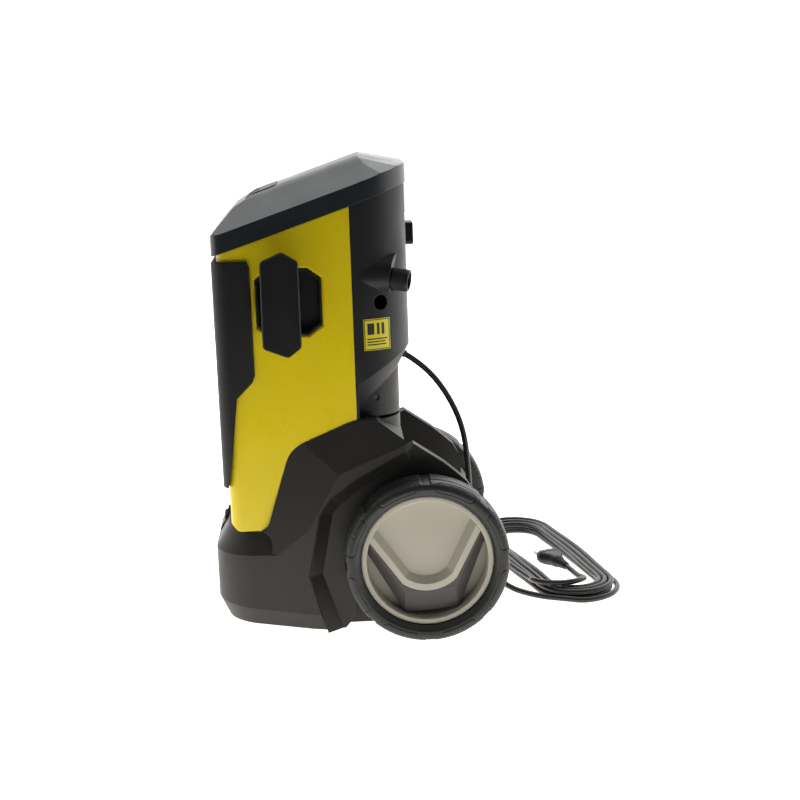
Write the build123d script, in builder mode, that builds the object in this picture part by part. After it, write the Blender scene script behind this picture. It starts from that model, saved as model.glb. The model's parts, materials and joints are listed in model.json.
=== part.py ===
"""Upright electric pressure washer on two wheels: case, motor, axial-piston pump, telescopic
handle, cable hook, water fittings and mains cord.

Frame: millimetres, +Z up, the front faces -Y and the wheels are at the rear (+Y). The origin is on
the floor under the middle of the machine. "Left" is the +X side, as seen from behind the handle.
"""

import os
from math import cos, hypot, pi, radians, sin, tan

from build123d import *

os.makedirs("parts", exist_ok=True)

# ---------------------------------------------------------------- driving dimensions
overall_length = 358
overall_width = 330
wheel_radius = 100
wall = 3.5
seam = 0.5
high = 700

front_y = -overall_length / 2
axle_y = overall_length / 2 - wheel_radius
axle_z = wheel_radius
axle_radius = 6

# case: yellow front halves, black rear shell, black front panel
case_half_width = 104
case_front_y = front_y + 22
seam_y = 2
case_rear_y = 71
front_corner = 14
rear_corner = 66
waist_inset = 14
tongue_z = 132

# top cover: a hipped roof that climbs towards the back
cover_half_width = case_half_width + 3
cover_front_y = case_front_y - 6
cover_rear_y = case_rear_y + 1
cover_slope = 0.327
cover_edge_z = 492
cover_band = 23
cover_crown = 29
crown_half_width = 40
cover_wall = 6

# base
base_half_width = 122
base_front_half = 106
base_rear_y = 57
shoulder_z = 104
frame_inner_x = 88
frame_outer_x = 106

# motor and pump on one upright axis
drive_y = -38
motor_radius = 60
head_z = 34
block_z = 62
housing_z = 104
motor_z = 160
bell_z = 320
shaft_radius = 8
piston_radius = 7
piston_circle = 22
piston_top = 127
swash_low_z = 128
pipe_low_z = 48
water_port_x = 34

# telescopic handle
handle_y = -112
tube_x = 26
tube_radius = 7
tube_bottom_z = 208
grip_front_y = -122
grip_rear_y = -84
grip_half_width = 36

# cable hook on the left side
dish_y = -73.5
hook_y = -83
hook_z = 412
hook_plate_x = 126
hook_thickness = 8

# controls and fittings
knob_z = 372
knob_radius = 27
outlet_z = 118
outlet_radius = 15
outlet_face_y = front_y + 8
outlet_back_y = case_front_y + 16
inlet_tip = (95, 71, 431)
inlet_direction = (0.256, 0.957, -0.139)

# mains cord
cord_diameter = 7.5
gland_start = (0, 50, 337.3)
gland_end = (0, 68, 325.7)
coil_centre = (-128, 256)
coil_half_length = 190
coil_half_width = 68
coil_band = 46
coil_height = 30
coil_turn = 12


def save(shape, name):
    """Labels a finished piece and writes it as its own file."""
    shape.label = name
    export_step(shape, f"parts/{name}.step")


def side_name(side):
    """Word for the +X or -X side of the machine."""
    return "left" if side > 0 else "right"


def trim(outward, through):
    """Cuts the part being built back to the plane with that outward normal."""
    split(bisect_by=Plane(through, z_dir=outward), keep=Keep.BOTTOM)


def upright(height, x=0, y=drive_y):
    """Horizontal work plane at a height, centred on an upright axis."""
    return Plane((x, y, height))


def outward_plane(side, x, y=0, z=0):
    """Work plane on one side of the machine: local x runs along +Y, the normal points outwards."""
    return Plane((side * x, y, z), x_dir=(0, side, 0), z_dir=(side, 0, 0))


def facing_front(y, z, x=0):
    """Work plane that faces the front at a depth and a height."""
    return Plane((x, y, z), x_dir=(1, 0, 0), z_dir=(0, -1, 0))


def mirrored(points, side):
    """Side-view points for an outward plane, whose local x is flipped on the right side."""
    return [(side * y, z) for y, z in points]


def case_outline(half, front, rear, r_front, r_rear):
    """Plan outline of the case: square front with small corners and a broad rounded back."""
    with BuildSketch() as plan:
        with BuildLine():
            Polyline((half, rear), (half, front), (-half, front), (-half, rear), close=True)
        make_face()
        fillet(plan.vertices().group_by(Axis.Y)[0], r_front)
        fillet(plan.vertices().group_by(Axis.Y)[-1], r_rear)
    return plan.sketch


def side_slab(points, x_low, x_high):
    """Slab with a side-view outline, between two X positions."""
    with BuildPart() as slab:
        with BuildSketch(Plane.YZ.offset(x_low)):
            with BuildLine():
                Polyline(*points, close=True)
            make_face()
        extrude(amount=x_high - x_low)
    return slab.part


# ---------------------------------------------------------------- case
# line where the case stands on the base, in the side view, with a tongue at the front
case_foot = [(80, 262), (seam_y, 267), (-81, 233), (-113, tongue_z), (-148, tongue_z), (-172, 156)]
case_foot_radii = [60, 38, 13, 9]


def above_foot(clearance):
    """Everything above the line where the case stands on the base."""
    foot = [(y, z + clearance) for y, z in case_foot]
    with BuildPart() as space:
        with BuildSketch(Plane.YZ.offset(-200)):
            with BuildLine():
                FilletPolyline(*foot, radius=case_foot_radii)
                Polyline(foot[-1], (foot[-1][0], high), (foot[0][0], high), foot[0])
            make_face()
        extrude(amount=400)
    return space.part


def octagon(width, height, cut_x, cut_y):
    """Rectangle with its four corners cut off."""
    w, h = width / 2, height / 2
    half = [(w, h - cut_y), (w - cut_x, h), (cut_x - w, h), (-w, h - cut_y)]
    with BuildSketch() as shape:
        with BuildLine():
            Polyline(*half, *[(-x, -y) for x, y in half], close=True)
        make_face()
    return shape.sketch


def shell_hollow():
    """Space inside the yellow halves, which leaves the sloping wall under their front edge."""
    with BuildPart() as hollow:
        add(case_outline(case_half_width - wall, case_front_y + wall, seam_y + 80, front_corner - wall, 1))
        extrude(amount=high)
        trim((0, -1, -1), (0, case_foot[-2][0], case_foot[-2][1] + 1.5 * wall + seam))
    return hollow.part


def case_shell(side):
    """One yellow half of the case, from the middle of the front to the seam with the rear shell."""
    with BuildPart() as shell:
        add(case_outline(case_half_width, case_front_y, seam_y + 60, front_corner, 1))
        extrude(amount=high)
        add(shell_hollow(), mode=Mode.SUBTRACT)
        trim((0, 1, 0), (0, seam_y - seam / 2, 0))
        trim((-side, 0, 0), (side * seam / 2, 0, 0))
        trim((0, -cover_slope, 1), (0, cover_front_y, cover_edge_z - cover_band - seam))
        add(above_foot(seam), mode=Mode.INTERSECT)
        with BuildSketch(Plane((0, case_front_y - 1, 0), x_dir=(1, 0, 0), z_dir=(0, -1, 0))):
            with Locations((0, knob_z)):
                Circle(9)
            with Locations((0, outlet_z)):
                Circle(outlet_radius + 0.5)
        extrude(amount=-20, mode=Mode.SUBTRACT)
        if side > 0:
            with BuildSketch(outward_plane(side, case_half_width, dish_y, hook_z)):
                add(octagon(78, 80, 16, 12))
            extrude(amount=-2 * wall, mode=Mode.SUBTRACT)
            rim = shell.faces().filter_by(Axis.X).sort_by(Axis.X)[-1].inner_wires()[0]
            chamfer(rim.edges(), wall - 1)
    return shell.part


save(case_shell(1), "left_case_shell")
save(case_shell(-1), "right_case_shell")


upper_crease = Plane((0, seam_y, 307), z_dir=(0, 0.60, -1))
lower_crease = Plane((0, seam_y, 279), z_dir=(0, 0.78, -1))


def rear_prism(inset, cut):
    """Upright prism of the rear shell's plan above a slanted crease, for a given inset."""
    with BuildPart() as prism:
        add(case_outline(case_half_width - inset, -60 + inset, case_rear_y - inset, 1, rear_corner - inset))
        extrude(amount=high)
        split(bisect_by=cut, keep=Keep.BOTTOM)
    return prism.part


def lowest_face(solid):
    """The slanted end face of a prism."""
    return solid.faces().sort_by(Axis.Z)[0]


def rear_form(inset):
    """Outer form of the rear shell: full body, bevel band, then an inset waist."""
    body = rear_prism(inset, upper_crease)
    waist = rear_prism(inset + waist_inset, lower_crease)
    with BuildPart() as form:
        add(body)
        loft(sections=[lowest_face(body), lowest_face(waist)], ruled=True)
        add(case_outline(case_half_width - inset - waist_inset, -46 + inset,
                         case_rear_y - inset - waist_inset, 1, rear_corner - inset - waist_inset))
        extrude(amount=high)
    return form.part


inlet_axis = Vector(*inlet_direction)
nut_length = 21
nut_radius = 13.5
nut_thread = 10.2
nut_mouth = 12
horn_radius = 24
horn_centre = (80, 439)
waist_screw = (27, 289)
corner_centre = (case_half_width - rear_corner, case_rear_y - rear_corner)


def corner_plane(side, x, y, z):
    """Work plane facing straight out of the rear shell's rounded corner."""
    centre_x, centre_y = corner_centre
    return Plane((side * x, y, z), z_dir=(side * (x - centre_x), y - centre_y, 0))


def along_inlet(distance):
    """Work plane across the water inlet's axis, at a distance in front of its rear tip."""
    return Plane(Vector(*inlet_tip) - inlet_axis * distance, z_dir=inlet_axis)


def horn(radius, distance):
    """Horn that carries the water inlet, cut square to the inlet's axis at a distance from its tip."""
    with BuildPart() as form:
        with BuildSketch(Plane((horn_centre[0], 66, horn_centre[1]), x_dir=(1, 0, 0), z_dir=(0, 1, 0))):
            Circle(radius)
        extrude(amount=-76)
        split(bisect_by=along_inlet(distance), keep=Keep.BOTTOM)
    return form.part


def nut_pocket():
    """Solid collar around the inlet's ring nut where it sinks into the shell's rounded corner."""
    with BuildPart() as collar:
        with BuildSketch(along_inlet(nut_length + 0.6 + wall)):
            Circle(nut_radius + 2 + wall)
        extrude(amount=40)
        add(rear_form(0), mode=Mode.INTERSECT)
    return collar.part


def rear_flange():
    """Flat flange that closes the step between the side shells and the rear shell's waist."""
    inset = waist_inset + wall
    with BuildPart() as flange:
        add(case_outline(case_half_width, -60, case_rear_y, 1, rear_corner))
        extrude(amount=312)
        add(case_outline(case_half_width - inset, -80, case_rear_y - inset, 1, rear_corner - inset))
        extrude(amount=high, mode=Mode.SUBTRACT)
        trim((0, 1, 0), (0, seam_y + wall, 0))
    return flange.part


with BuildPart() as rear_case_shell:
    add(rear_form(0))
    add(horn(horn_radius, nut_length + 0.6))
    add(rear_form(wall), mode=Mode.SUBTRACT)
    add(horn(horn_radius - wall, nut_length + 0.6 + wall), mode=Mode.SUBTRACT)
    add(nut_pocket())
    for radius, distance in ((10.5, nut_length + 14), (nut_radius + 2, nut_length + 0.6)):
        with BuildSketch(along_inlet(distance)):
            Circle(radius)
        extrude(amount=50, mode=Mode.SUBTRACT)
    add(rear_flange())
    trim((0, -1, 0), (0, seam_y + seam / 2, 0))
    trim((0, -cover_slope, 1), (0, cover_front_y, cover_edge_z - cover_band - seam))
    add(above_foot(seam), mode=Mode.INTERSECT)
    with BuildSketch(corner_plane(1, 98, 37, 407)):
        Circle(9)
    extrude(amount=-8, both=True, mode=Mode.SUBTRACT)
    for side in (1, -1):
        with BuildSketch(corner_plane(side, 85, *waist_screw)):
            Circle(4)
        extrude(amount=-6, both=True, mode=Mode.SUBTRACT)
    with BuildSketch(Plane(gland_start, z_dir=Vector(*gland_end) - Vector(*gland_start))):
        Circle(8.1)
    extrude(amount=30, both=True, mode=Mode.SUBTRACT)
save(rear_case_shell.part, "rear_case_shell")


def case_band(grow, depth, bottom, top, nose=0):
    """Upright band that follows the case's plan, standing proud by grow and sunk in by depth."""
    rear = case_rear_y + grow
    front = case_front_y - grow - nose
    with BuildPart() as band:
        add(case_outline(case_half_width + grow, front, rear, front_corner + grow, rear_corner + grow))
        extrude(amount=top)
        add(case_outline(case_half_width - depth, case_front_y + depth, rear - grow - depth,
                         front_corner - depth, rear_corner - depth))
        extrude(amount=top, mode=Mode.SUBTRACT)
        trim((0, 0, -1), (0, 0, bottom))
    return band.part


# ---------------------------------------------------------------- front panel
panel_proud = 4
panel_nose = 3
panel_front_y = case_front_y - panel_proud - panel_nose
knob_recess_y = case_front_y - 2
panel_edge = [(-190, 463), (-121, 463), (-118, 455), (-118, 326), (-121, 318), (-141, 298), (-152, 211),
              (-157, 188), (-190, 188)]

with BuildPart() as front_panel:
    add(case_band(panel_proud, -seam / 2, 150, high, panel_nose))
    add(side_slab(panel_edge, -150, 150), mode=Mode.INTERSECT)
    outer_x = case_half_width + panel_proud
    side_rim = front_panel.edges().filter_by(lambda edge: abs(edge.center().X) > outer_x - 0.1)
    chamfer(side_rim.filter_by(lambda edge: edge.center().Y > -139), 1.5)
    with BuildSketch(facing_front(knob_recess_y, knob_z)):
        Circle(knob_radius + 3)
    extrude(amount=10, mode=Mode.SUBTRACT)
    with BuildSketch(facing_front(panel_front_y, knob_z)):
        Circle(11)
    extrude(amount=-20, mode=Mode.SUBTRACT)
save(front_panel.part, "front_panel")


# ---------------------------------------------------------------- top cover
corner_pitch = 0.48


def roof(half, front, rear, drop):
    """Solid under the hipped roof, for a plan half-width and ends; drop lowers its top faces."""
    edge = cover_edge_z - drop
    rise = 1 / hypot(1, cover_slope)
    profile = [(half, -120), (half, 0), (crown_half_width, cover_crown * rise)]
    profile += [(-x, z) for x, z in reversed(profile)]
    along = Vector(0, 1, cover_slope).normalized()
    with BuildPart() as body:
        with BuildSketch(Plane((0, front - 60, edge - 60 * cover_slope), x_dir=(-1, 0, 0), z_dir=along)):
            with BuildLine():
                FilletPolyline(*profile, radius=[0, 0, 70, 70, 0, 0], close=True)
            make_face()
        extrude(amount=400)
        with BuildSketch(Plane.XY.offset(300)) as plan:
            add(case_outline(half, front, rear, front_corner, rear_corner + 1))
        extrude(amount=400, mode=Mode.INTERSECT)
        trim((0, -1.0, 0.92), (0, front, edge + 1))
        trim((0, -0.62, 1.0), (0, -122, 531 - drop))
        trim((0, 0.22, 1.0), (0, 17, 580 - drop))
        for turn in (20, 45, 70):
            across, back = cos(radians(turn)), sin(radians(turn))
            corner_x = half - rear_corner + rear_corner * across
            corner_y = rear - rear_corner + rear_corner * back
            corner_z = edge + cover_slope * (corner_y - front)
            for side in (1, -1):
                trim((side * corner_pitch * across, corner_pitch * back - cover_slope, 1),
                     (side * corner_x, corner_y, corner_z))
    return body.part


def grip_pocket(clearance):
    """Upright prism of the handle grip's plan, rounded at its ends."""
    length = 2 * (grip_half_width + clearance)
    width = grip_rear_y - grip_front_y + 2 * clearance
    with BuildPart() as prism:
        with BuildSketch(upright(300, 0, (grip_front_y + grip_rear_y) / 2)):
            RectangleRounded(length, width, 9 + clearance)
        extrude(amount=400)
    return prism.part


with BuildPart() as top_cover:
    add(roof(cover_half_width, cover_front_y, cover_rear_y, 0))
    inner_rear = cover_rear_y - cover_wall
    add(roof(cover_half_width - cover_wall, cover_front_y + cover_wall, inner_rear, wall), mode=Mode.SUBTRACT)
    trim((0, cover_slope, -1), (0, cover_front_y, cover_edge_z - cover_band))
    add(grip_pocket(0.6), mode=Mode.SUBTRACT)
save(top_cover.part, "top_cover")


# ---------------------------------------------------------------- telescopic handle
grip_proud = 0.8
grip_floor_z = 509
button_travel = 3
carrier_z = 497


def button_prism(clearance, bottom):
    """Upright prism of the release button's plan, from a height up."""
    with BuildPart() as prism:
        with BuildSketch(upright(bottom, 0, handle_y)):
            RectangleRounded(26 + 2 * clearance, 13 + 2 * clearance, 4 + clearance)
        extrude(amount=200)
    return prism.part


with BuildPart() as handle_grip:
    add(roof(cover_half_width, cover_front_y, cover_rear_y, -grip_proud))
    add(grip_pocket(0), mode=Mode.INTERSECT)
    trim((0, 0, -1), (0, 0, grip_floor_z))
    with BuildSketch(Plane.XY.offset(grip_floor_z)):
        with Locations((tube_x, handle_y), (-tube_x, handle_y)):
            Circle(tube_radius)
    extrude(amount=12, mode=Mode.SUBTRACT)
    add(button_prism(0.35, grip_floor_z + 6), mode=Mode.SUBTRACT)
save(handle_grip.part, "handle_grip")

with BuildPart() as handle_release_button:
    add(roof(cover_half_width, cover_front_y, cover_rear_y, -grip_proud - 0.8))
    add(button_prism(0, grip_floor_z + 6 + button_travel + 0.5), mode=Mode.INTERSECT)
save(handle_release_button.part, "handle_release_button")

with BuildPart() as handle_tubes:
    with BuildSketch(upright(tube_bottom_z, 0, handle_y)):
        with Locations((tube_x, 0), (-tube_x, 0)):
            Circle(tube_radius)
            Circle(tube_radius - 1.2, mode=Mode.SUBTRACT)
    extrude(amount=grip_floor_z + 12 - tube_bottom_z)
save(handle_tubes.part, "handle_tubes")

with BuildPart() as handle_guide:
    with BuildSketch(upright(carrier_z, 0, -103)):
        RectangleRounded(110, 60, 8)
    extrude(amount=6)
    with BuildSketch(upright(carrier_z - 40, 0, handle_y)):
        with Locations((tube_x, 0), (-tube_x, 0)):
            Circle(10.5)
    extrude(amount=44)
    with BuildSketch(upright(carrier_z - 50, 0, handle_y)):
        with Locations((tube_x, 0), (-tube_x, 0)):
            Circle(tube_radius + 0.08)
    extrude(amount=80, mode=Mode.SUBTRACT)
save(handle_guide.part, "handle_guide")


# ---------------------------------------------------------------- cable hook
neck_radius = 13
dish_depth = 13

with BuildPart() as hook_dish:
    with BuildSketch(outward_plane(1, case_half_width - 1, dish_y, hook_z)):
        add(octagon(77, 79, 16, 12))
    extrude(amount=-dish_depth, taper=12)
    with BuildSketch(outward_plane(1, case_half_width - 1, dish_y, hook_z)):
        add(octagon(73.5, 75.5, 16, 12))
    extrude(amount=2 - dish_depth, taper=12, mode=Mode.SUBTRACT)
    with BuildSketch(outward_plane(1, case_half_width - dish_depth - 3, hook_y, hook_z)):
        Circle(neck_radius + 4)
    extrude(amount=7)
    with BuildSketch(outward_plane(1, case_half_width, hook_y, hook_z)):
        Circle(4.2)
    extrude(amount=-20, mode=Mode.SUBTRACT)
save(hook_dish.part, "hook_dish")

# long six-sided plate that holds the wound hose and cable, on a round neck
plate_outline = [(-22, 52), (4, 63), (23, 51), (23, -50), (7, -62), (-23, -50)]

with BuildPart() as hook_plate:
    with BuildSketch(outward_plane(1, hook_plate_x, hook_y, hook_z)):
        with BuildLine():
            FilletPolyline(*plate_outline, radius=[6] * 6, close=True)
        make_face()
    extrude(amount=hook_thickness)
    chamfer(hook_plate.faces().sort_by(Axis.X)[-1].edges(), 1.4)
    with BuildSketch(outward_plane(1, case_half_width - dish_depth + 4.3, hook_y, hook_z)):
        Circle(neck_radius)
        Circle(4.2, mode=Mode.SUBTRACT)
    extrude(until=Until.NEXT)
save(hook_plate.part, "hook_plate")

with BuildPart() as hook_screw:
    with BuildSketch(outward_plane(1, case_half_width - dish_depth - 8, hook_y, hook_z)):
        Circle(7)
    extrude(amount=4.5)
    with BuildSketch(outward_plane(1, case_half_width - dish_depth - 4, hook_y, hook_z)):
        Circle(4.15)
    extrude(amount=22)
save(hook_screw.part, "hook_screw")


# ---------------------------------------------------------------- control knob and switch
knob_back_y = knob_recess_y - 0.4

with BuildPart() as control_knob:
    with BuildSketch(facing_front(knob_back_y, knob_z)):
        Circle(knob_radius)
    extrude(amount=8, taper=6)
    with BuildSketch(facing_front(knob_back_y - 8, knob_z)):
        SlotOverall(2 * knob_radius - 8, 11, rotation=90)
    extrude(amount=3.4, taper=8)
    fillet(control_knob.edges().group_by(Axis.Y)[0], 1.2)
    with BuildSketch(facing_front(knob_back_y, knob_z)):
        Circle(4)
    extrude(amount=-24)
save(control_knob.part, "control_knob")

with BuildPart() as power_switch:
    with BuildSketch(facing_front(case_front_y + wall + 4, knob_z)):
        RectangleRounded(34, 46, 3)
    extrude(amount=-30)
    with BuildSketch(facing_front(case_front_y + wall, knob_z)):
        Circle(4.08)
    extrude(amount=-20, mode=Mode.SUBTRACT)
    with BuildSketch(facing_front(case_front_y + wall + 34, knob_z)):
        with Locations((-10, 14), (0, 14), (10, 14), (-10, -14), (10, -14)):
            Rectangle(1, 6)
    extrude(amount=-7)
save(power_switch.part, "power_switch")


# ---------------------------------------------------------------- base and wheel frames
# front edge of the wheel arch in the side view, from the floor up to the apex of the base
arch_outer = [(-42, -6), (-64, 76), (-48, 154), (-35, 173), (0, 198), (58, 228)]
arch_inner = [(-22, -6), (-48, 74), (-33, 150), (-24, 161), (8, 184), (63, 213)]
bevel_plane = Plane((0, -175, 41), z_dir=(0, -0.12, -1))
floor_plane = Plane((0, -166, 16), z_dir=(0, -0.104, -1))
floor_z = 3
bevel_inset = 11


def base_outline(inset):
    """Plan of the base: widest at the wheel arches, narrower and well rounded at the front."""
    half, front = base_half_width - inset, base_front_half - inset
    nose = front_y + inset
    with BuildSketch() as plan:
        with BuildLine():
            right_half = [(half, 90), (half, -62), (front, nose)]
            Polyline(*right_half, *[(-x, y) for x, y in reversed(right_half)], close=True)
        make_face()
        fillet(plan.vertices().group_by(Axis.Y)[0], 56 - inset)
        fillet(plan.vertices().filter_by(lambda corner: abs(corner.Y + 62) < 1), 60)
    return plan.sketch


def base_prism(inset, cut):
    """Upright prism of the base's plan above a slanted plane."""
    with BuildPart() as prism:
        with BuildSketch(Plane.XY.offset(-20)):
            add(base_outline(inset))
        extrude(amount=shoulder_z + 20)
        split(bisect_by=cut, keep=Keep.BOTTOM)
    return prism.part


def base_cheeks():
    """Sides of the base that climb beside the case, faired out to the wheel arches."""
    with BuildPart() as cheeks:
        add(base_outline(0))
        extrude(amount=290)
        for side in (1, -1):
            trim((side * 0.95, -0.119, 0.29), (side * 105.5, -40, 250))
            trim((side * 0.95, -0.25, 0.145), (side * 105.8, -97, 182))
        trim((0, 0.727, 1), (0, 36, 258))
        trim((0, -1, 0), (0, -125, 0))
        trim((0, 0, -1), (0, 0, 50))
        for side in (1, -1):
            with BuildSketch(Plane((side * 98, -127, 117), x_dir=(0, 1, 0), z_dir=(side, 0, 0))):
                Circle(14)
            extrude(amount=30, taper=-24, mode=Mode.SUBTRACT)
    return cheeks.part


def cheek_gap(x_low, x_high, clearance):
    """Everything behind the front edge of the wheel arch, between two X positions."""
    edge = [(y - clearance, z) for y, z in arch_outer]
    return side_slab([*edge, (64 - clearance, 290), (140, 290), (140, -6)], x_low, x_high)


with BuildPart() as base_housing:
    add(base_prism(0, bevel_plane))
    bevel_faces = [lowest_face(base_prism(0, bevel_plane)), lowest_face(base_prism(bevel_inset, floor_plane))]
    loft(sections=bevel_faces, ruled=True)
    for height, inset in ((shoulder_z, 0), (tongue_z + 1, 17)):
        with BuildSketch(Plane.XY.offset(height)):
            add(base_outline(inset))
    loft(ruled=True)
    add(base_cheeks())
    add(above_foot(0), mode=Mode.SUBTRACT)
    for low in (frame_inner_x - seam, -200):
        add(cheek_gap(low, low + 200 - frame_inner_x + seam, seam), mode=Mode.SUBTRACT)
    with BuildSketch(Plane.XY) as core:
        add(case_outline(frame_inner_x - seam, -140, base_rear_y, 20, 50))
    extrude(amount=261)
    trim((0, 1, 0), (0, base_rear_y, 0))
    trim((0, 0, -1), (0, 0, floor_z))
    split(bisect_by=floor_plane, keep=Keep.BOTTOM)
    with BuildSketch(Plane.XY.offset(18)):
        add(case_outline(frame_inner_x - 4, -150, base_rear_y - 4, 20, 46))
    extrude(amount=300, mode=Mode.SUBTRACT)
    with BuildSketch(Plane.XY.offset(22)):
        add(base_outline(bevel_inset + 2))
        with Locations((0, 60)):
            Rectangle(400, 260, mode=Mode.SUBTRACT)
    extrude(amount=shoulder_z - 28, mode=Mode.SUBTRACT)
    with BuildSketch(facing_front(outlet_back_y + 2, outlet_z)):
        Circle(outlet_radius + 0.5)
    extrude(amount=60, mode=Mode.SUBTRACT)
    with BuildSketch(facing_front(outlet_face_y + 11, outlet_z + 15)):
        Rectangle(11.4, 10)
    extrude(amount=40, mode=Mode.SUBTRACT)
save(base_housing.part, "base_housing")


def arch_well(side):
    """Space of the wheel, with a sloping wall that leaves the bright strip of the arch."""
    with BuildPart() as well:
        for x, edge, top in ((frame_outer_x, arch_inner, 74), (base_half_width + 0.5, arch_outer, 68)):
            with BuildSketch(outward_plane(side, x)):
                with BuildLine():
                    Polyline(*mirrored([*edge, (top, 250), (225, 250), (225, -6)], side), close=True)
                make_face()
        loft(ruled=True)
    return well.part


# side view of the wing that carries the axle behind the arch
wing = [(69, 234), (105, 209), (119, 197), (133, 184), (140, 171), (143, 157), (143, 142), (122, 112),
        (104, 84), (79, 74), (45, 68), (8, 52), (-8, 39), (-8, 19), (-22, 3)]
boss_radius = 17

for side in (1, -1):
    with BuildPart() as wheel_frame:
        with BuildSketch(outward_plane(side, frame_inner_x)):
            with BuildLine():
                outline = [(-44, 3), *arch_outer[1:], *wing]
                Polyline(*mirrored(outline, side), close=True)
            make_face()
        extrude(amount=base_half_width - frame_inner_x)
        add(arch_well(side), mode=Mode.SUBTRACT)
        with BuildSketch(outward_plane(side, frame_inner_x, axle_y, axle_z)):
            Circle(boss_radius)
        extrude(amount=frame_outer_x - frame_inner_x + 4)
        with BuildSketch(outward_plane(side, frame_inner_x - 1, axle_y, axle_z)):
            Circle(axle_radius + 0.02)
        extrude(amount=60, mode=Mode.SUBTRACT)
    save(wheel_frame.part, f"{side_name(side)}_wheel_frame")


# ---------------------------------------------------------------- wheels
rim_radius = 80
lip_width = 6.7
rim_face_x = 154
tyre_inner_x = 111
tyre_outer_x = overall_width / 2
web_x = 122
hub_inner_x = 113
hub_outer_x = 134
hub_face_radius = 18
axle_half = 137
cover_face_x = 151
shield_turn = 4
wheel_axis = Axis((0, axle_y, axle_z), (1, 0, 0))


def wheel_section(side):
    """Radial work plane: local x is the distance from the middle, local y the radius."""
    return Plane((0, axle_y, axle_z), x_dir=(side, 0, 0), z_dir=(0, -side, 0))


def wheel_face(side, x):
    """Work plane across the wheel at a distance from the middle, turned with the shield."""
    turn = radians(shield_turn)
    across = (0, side * cos(turn), side * sin(turn))
    return Plane((side * x, axle_y, axle_z), x_dir=across, z_dir=(side, 0, 0))


def shield(inset, mode=Mode.PRIVATE):
    """Shield-shaped outline of the hub cover: broad open top, sloping sides, curved foot."""
    foot = (33 - 0.55 * inset, 0.85 * inset - 26)
    shoulder = (82.5 - 0.85 * inset, 55 + 0.52 * inset)
    with BuildSketch(mode=mode) as outline:
        with BuildLine():
            Polyline(foot, shoulder, (shoulder[0], 95), (-shoulder[0], 95), (-shoulder[0], shoulder[1]),
                     (-foot[0], foot[1]))
            ThreePointArc((-foot[0], foot[1]), (0, inset - 38), foot)
        make_face()
    return outline.sketch


# faceted block inside the rim: its outline near the shield and, further in, at the rim's wall
facets_near = [(31, -38), (67, 24), (67, 62), (-67, 62), (-67, 24), (-31, -38)]
facets_far = [(33, -66), (73, 18), (73, 62), (-73, 62), (-73, 18), (-33, -66)]
facet_face_x = 149
facet_edge_x = 141
facet_back_x = 127

tyre_section = [(117, 80.4), (tyre_inner_x, 86), (112, 94), (118, wheel_radius), (157, wheel_radius),
                (163, 95.5), (tyre_outer_x, 88), (160.5, 81), (154.5, 80.4)]

for side in (1, -1):
    with BuildPart() as tyre:
        with BuildSketch(wheel_section(side)):
            with BuildLine():
                FilletPolyline(*tyre_section, radius=[0.5, 4, 4, 5, 5, 5, 3, 3, 0.5], close=True)
            make_face()
        revolve(axis=wheel_axis)
    save(tyre.part, f"{side_name(side)}_tyre")

    with BuildPart() as rim:
        with BuildSketch(wheel_section(side)):
            with Locations(((117 + rim_face_x) / 2, rim_radius - lip_width / 2)):
                Rectangle(rim_face_x - 117, lip_width)
            with Locations((web_x + 2, 45)):
                Rectangle(4, 62)
            with Locations(((hub_inner_x + hub_outer_x) / 2, 11)):
                Rectangle(hub_outer_x - hub_inner_x, 9.9)
        revolve(axis=wheel_axis)
        fillet(rim.edges().filter_by(lambda edge: abs(abs(edge.center().X) - rim_face_x) < 0.1), 1.6)
    save(rim.part, f"{side_name(side)}_rim")

    with BuildPart() as hub_cover:
        with BuildSketch(wheel_face(side, cover_face_x)):
            add(shield(0))
            Circle(rim_radius - lip_width - 0.3, mode=Mode.INTERSECT)
        extrude(amount=-13.5)
        with BuildSketch(wheel_face(side, cover_face_x)):
            add(shield(8))
        extrude(amount=-11, taper=34, mode=Mode.SUBTRACT)
    save(hub_cover.part, f"{side_name(side)}_hub_cover")

    with BuildPart() as hub_insert:
        for x, outline in ((facet_face_x, facets_near), (facet_edge_x, facets_far)):
            with BuildSketch(wheel_face(side, x)):
                with BuildLine():
                    Polyline(*outline, close=True)
                make_face()
        loft(ruled=True)
        with BuildSketch(wheel_face(side, facet_back_x)):
            with BuildLine():
                Polyline(*facets_far, close=True)
            make_face()
        extrude(amount=facet_edge_x - facet_back_x)
        with BuildSketch(wheel_face(side, facet_back_x - 1)):
            Circle(rim_radius - lip_width - 0.3)
        extrude(amount=40, mode=Mode.INTERSECT)
        with BuildSketch(wheel_face(side, facet_back_x - 1)):
            add(shield(-0.3))
            Circle(hub_face_radius)
        extrude(amount=40, mode=Mode.SUBTRACT)
    save(hub_insert.part, f"{side_name(side)}_hub_insert")

with BuildPart() as axle:
    with BuildSketch(Plane.YZ.offset(-axle_half)):
        with Locations((axle_y, axle_z)):
            Circle(axle_radius)
    extrude(amount=2 * axle_half)
    chamfer(axle.edges(), 0.8)
save(axle.part, "axle")

with BuildPart() as axle_clips:
    for x in (hub_outer_x + 0.4, -hub_outer_x - 1.9):
        with BuildSketch(Plane.YZ.offset(x)):
            with Locations((axle_y, axle_z)):
                Circle(10.5)
                Circle(axle_radius, mode=Mode.SUBTRACT)
                Rectangle(5, 11, align=(Align.CENTER, Align.MAX), mode=Mode.SUBTRACT)
        extrude(amount=1.5)
save(axle_clips.part, "axle_clips")


# ---------------------------------------------------------------- motor
def upright_ring(bottom, top, outer, inner, centre=(0, drive_y)):
    """Upright ring or disc between two heights, made private for use inside other pieces."""
    with BuildPart(mode=Mode.PRIVATE) as ring:
        with BuildSketch(upright(bottom, *centre)):
            Circle(outer)
            if inner:
                Circle(inner, mode=Mode.SUBTRACT)
        extrude(amount=top - bottom)
    return ring.part


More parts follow.
